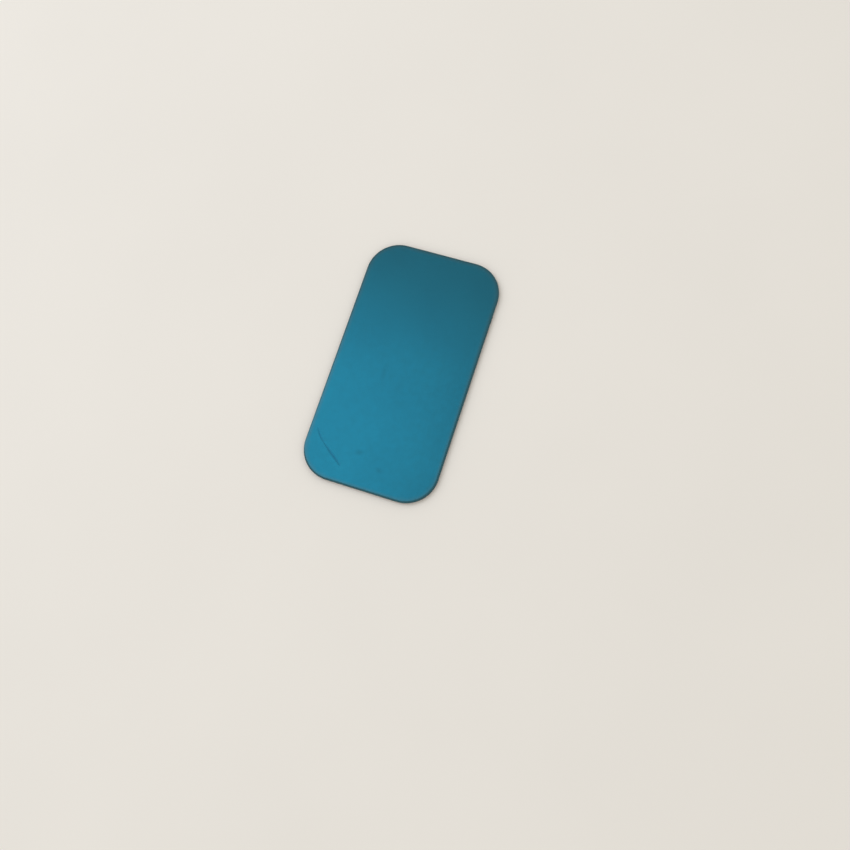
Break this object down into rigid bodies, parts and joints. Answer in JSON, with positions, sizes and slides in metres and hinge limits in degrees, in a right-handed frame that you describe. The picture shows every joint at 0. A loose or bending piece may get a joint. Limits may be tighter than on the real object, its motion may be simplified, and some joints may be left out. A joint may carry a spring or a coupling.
{
  "type": "magnetic phone mount plate",
  "caption": "Thin steel plate with round corners, a blue film on its face and a tape pad underneath. It sticks to the back of a phone so that a magnetic holder grips it.",
  "frame": {"origin": "middle of the tape pad's underside, where it meets the surface it is stuck to", "axes": "+X across the plate, +Y along it, +Z away from the surface it is stuck to"},
  "size_m": [0.023, 0.042, 0.0008],
  "materials": {
    "sheet_steel": "punched edge with a smooth band over a broken band",
    "blue_film": "translucent teal blue film laminated on bright steel, semi-gloss, scratched",
    "tissue_tape": "tacky acrylic on both sides of a thin tissue"
  },
  "bodies": {
    "root": {"steel_plate": "sheet_steel", "protective_film": "blue_film", "adhesive_pad": "tissue_tape"}
  },
  "joints": []
}
